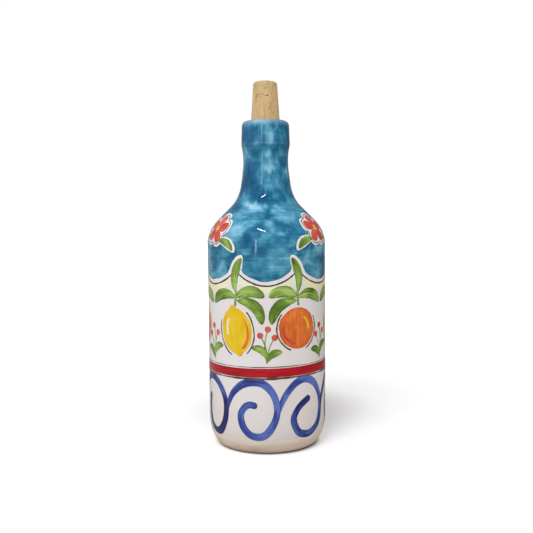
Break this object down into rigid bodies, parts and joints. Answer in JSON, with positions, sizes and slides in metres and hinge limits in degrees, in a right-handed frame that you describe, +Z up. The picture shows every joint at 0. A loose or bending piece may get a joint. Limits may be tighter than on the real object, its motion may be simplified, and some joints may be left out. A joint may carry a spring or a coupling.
{
  "type": "oil cruet",
  "caption": "Glazed earthenware bottle for table oil, with a straight body, rounded shoulder, waisted neck and a tapered cork that lifts out.",
  "frame": {"origin": "centre of the foot, on the surface that the bottle stands on", "axes": "+Z up along the bottle's axis, towards the cork; -Y is the side that the picture shows"},
  "size_m": [0.0804, 0.0802, 0.2446],
  "materials": {
    "bare_clay": "bare fired earthenware, fine matt grain",
    "lining_glaze": "plain glossy white glaze",
    "white_glaze": "glossy tin-white glaze, slightly uneven",
    "blue_wash": "glossy mottled blue, sponged and brushed",
    "red_paint": "glossy red brushed band",
    "scroll_blue": "glossy blue brush strokes, thick and thin",
    "leaf_green": "glossy green brush strokes",
    "yellow_paint": "glossy yellow, brushed",
    "orange_paint": "glossy orange, brushed",
    "outline_brown": "thin dark brown outline",
    "cork": "natural cork with dark pores"
  },
  "bodies": {
    "bottle": {"clay_body": "bare_clay", "lining_glaze": "lining_glaze", "outer_glaze": "white_glaze", "blue_wash": "blue_wash", "red_band": "red_paint"},
    "cork": {"cork_stopper": "cork"}
  },
  "joints": [
    {"name": "cork_pull", "type": "slide", "parent": "bottle", "child": "cork", "axis": [0, 0, 1], "range_m": [0, 0.05]}
  ]
}
